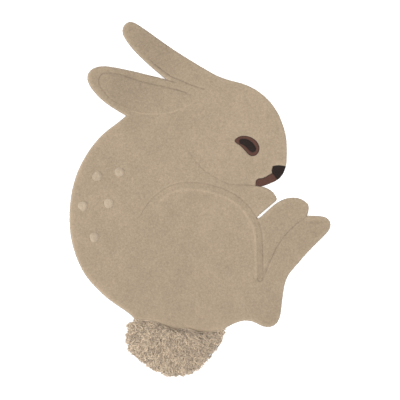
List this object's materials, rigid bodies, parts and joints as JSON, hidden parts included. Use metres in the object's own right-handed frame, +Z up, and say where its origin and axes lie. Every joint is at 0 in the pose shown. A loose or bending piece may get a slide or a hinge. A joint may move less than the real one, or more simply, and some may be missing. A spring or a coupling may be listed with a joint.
{
  "type": "rabbit shaped kids rug",
  "caption": "Flat tufted wool floor rug in the outline of a curled-up rabbit, with carved ears, jaw and haunch, raised dots on the back, brown eye and nose, and a shag tail.",
  "frame": {"origin": "on the floor under the middle of the rug's footprint", "axes": "+X towards the rabbit's nose and feet, +Y towards its ears along the rug's length, +Z up from the floor through the pile"},
  "size_m": [0.88, 1.1976, 0.0315],
  "materials": {
    "sand_wool": "short dense cut pile of sand coloured wool",
    "sand_shag": "long wavy shag of sand coloured wool",
    "brown_wool": "short dense cut pile of dark brown wool",
    "black_wool": "short dense cut pile of near-black wool"
  },
  "bodies": {
    "root": {"pile_ground": "sand_wool", "eye_rim": "brown_wool", "eye_middle": "black_wool", "nose": "black_wool", "mouth": "brown_wool", "back_dot_1": "sand_wool", "back_dot_2": "sand_wool", "back_dot_3": "sand_wool", "back_dot_4": "sand_wool", "back_dot_5": "sand_wool", "tail": "sand_shag"}
  },
  "joints": []
}
